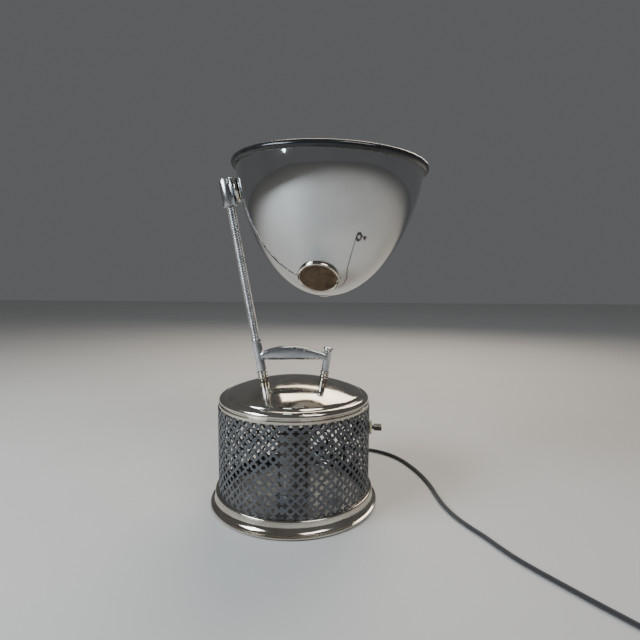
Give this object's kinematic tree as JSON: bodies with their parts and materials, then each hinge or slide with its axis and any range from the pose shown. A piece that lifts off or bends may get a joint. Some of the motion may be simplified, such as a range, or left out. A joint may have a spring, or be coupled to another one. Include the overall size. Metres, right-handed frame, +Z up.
{
  "type": "table-top heat lamp",
  "caption": "Table-top heat lamp: vented drum base with domed lid and carrying handle, gooseneck, and a deep polished bowl on a friction pivot",
  "frame": {"origin": "centre of the felt pad's underside, on the table", "axes": "+Z up; -Y towards the front, where the badge is; +X to the side of the switch"},
  "size_m": [0.6247, 0.5201, 0.5081],
  "materials": {
    "reflector": "mirror polish",
    "polished_nickel": "polished plate",
    "cast_aluminium": "satin casting",
    "neck_wire": "plated spring wire",
    "steel": "plain",
    "brass": "plain",
    "grey_paint": "semi-gloss enamel",
    "brown_lacquer": "lacquer over metal",
    "black_rim": "gloss enamel",
    "felt": "felt",
    "ivory_plastic": "moulded",
    "dark_plastic": "moulded",
    "porcelain": "glazed",
    "ceramic": "unglazed",
    "resistance_wire": "dull",
    "bulb_glass": "frosted, lit",
    "textile": "braided",
    "rubber": "plain"
  },
  "bodies": {
    "root": {"felt_pad": "felt", "base_plate": "steel", "foot_ring": "polished_nickel", "perforated_drum": "grey_paint", "drum_lid": "polished_nickel", "lid_screw_1": "polished_nickel", "lid_screw_2": "polished_nickel", "lid_screw_3": "polished_nickel", "post_left": "cast_aluminium", "post_right": "cast_aluminium", "post_collar_left": "polished_nickel", "post_collar_right": "polished_nickel", "post_nut_left": "brass", "post_nut_right": "brass", "handle_grip": "cast_aluminium", "grip_pin_left": "steel", "grip_pin_right": "steel", "neck_foot": "neck_wire", "resistor_bracket": "steel", "resistor_former": "ceramic", "resistor_winding": "resistance_wire", "resistor_rod": "steel", "terminal_block": "porcelain", "neck_lead": "textile", "switch_lead": "textile", "switch_body": "dark_plastic", "switch_bezel": "ivory_plastic", "strain_relief": "rubber", "cord_clamp": "steel", "cord_run": "textile", "cord_tail": "textile", "cord_coil": "textile", "cord_tie": "rubber", "plug_body": "dark_plastic", "plug_pin_1": "brass", "plug_pin_2": "brass"},
    "neck_1": {"neck_section_1": "neck_wire"},
    "neck_2": {"neck_section_2": "neck_wire"},
    "neck_3": {"neck_section_3": "neck_wire"},
    "neck_4": {"neck_section_4": "neck_wire"},
    "neck_5": {"neck_section_5": "neck_wire"},
    "barrel": {"neck_head": "neck_wire", "barrel": "cast_aluminium", "barrel_cap": "cast_aluminium", "friction_disc_fixed": "steel", "pivot_stud": "steel", "spring_washer": "steel", "pivot_nut": "brass"},
    "bowl": {"bowl_shell": "reflector", "rim_bead": "black_rim", "friction_disc_bowl": "polished_nickel", "backing_plate": "steel", "badge_ring": "polished_nickel", "badge_disc": "brown_lacquer", "holder_cap": "polished_nickel", "holder_flange": "steel", "lamp_holder": "porcelain", "bulb_cap": "brass", "bulb_glass": "bulb_glass"},
    "switch_key": {"switch_key": "dark_plastic"}
  },
  "joints": [
    {"name": "neck_sway_1", "type": "hinge", "parent": "root", "child": "neck_1", "pos_m": [-0.06176, 0, 0.26309], "axis": [0, 1, 0], "range_deg": [-13, 5]},
    {"name": "neck_nod_1", "type": "hinge", "parent": "neck_1", "child": "neck_2", "pos_m": [-0.06778, 0, 0.29587], "axis": [0.9836, 0, 0.1805], "range_deg": [-13, 13]},
    {"name": "neck_sway_2", "type": "hinge", "parent": "neck_2", "child": "neck_3", "pos_m": [-0.0738, 0, 0.32866], "axis": [0, 1, 0], "range_deg": [-13, 5]},
    {"name": "neck_nod_2", "type": "hinge", "parent": "neck_3", "child": "neck_4", "pos_m": [-0.07981, 0, 0.36145], "axis": [0.9836, 0, 0.1805], "range_deg": [-13, 13]},
    {"name": "neck_sway_3", "type": "hinge", "parent": "neck_4", "child": "neck_5", "pos_m": [-0.08583, 0, 0.39423], "axis": [0, 1, 0], "range_deg": [-13, 5]},
    {"name": "neck_nod_3", "type": "hinge", "parent": "neck_5", "child": "barrel", "pos_m": [-0.09185, 0, 0.42702], "axis": [0.9836, 0, 0.1805], "range_deg": [-13, 13]},
    {"name": "bowl_tilt", "type": "hinge", "parent": "barrel", "child": "bowl", "pos_m": [-0.09881, 0, 0.46495], "axis": [0.9836, 0, 0.1805], "range_deg": [-120, 120]},
    {"name": "switch_turn", "type": "hinge", "parent": "root", "child": "switch_key", "pos_m": [0.11871, -0.0083, 0.1135], "axis": [0.9976, -0.0698, 0], "range_deg": [0, 90]}
  ],
  "couplings": [
    {"joint": "neck_sway_2", "follows": "neck_sway_1", "ratio": 1},
    {"joint": "neck_sway_3", "follows": "neck_sway_1", "ratio": 1},
    {"joint": "neck_nod_2", "follows": "neck_nod_1", "ratio": 1},
    {"joint": "neck_nod_3", "follows": "neck_nod_1", "ratio": 1}
  ]
}
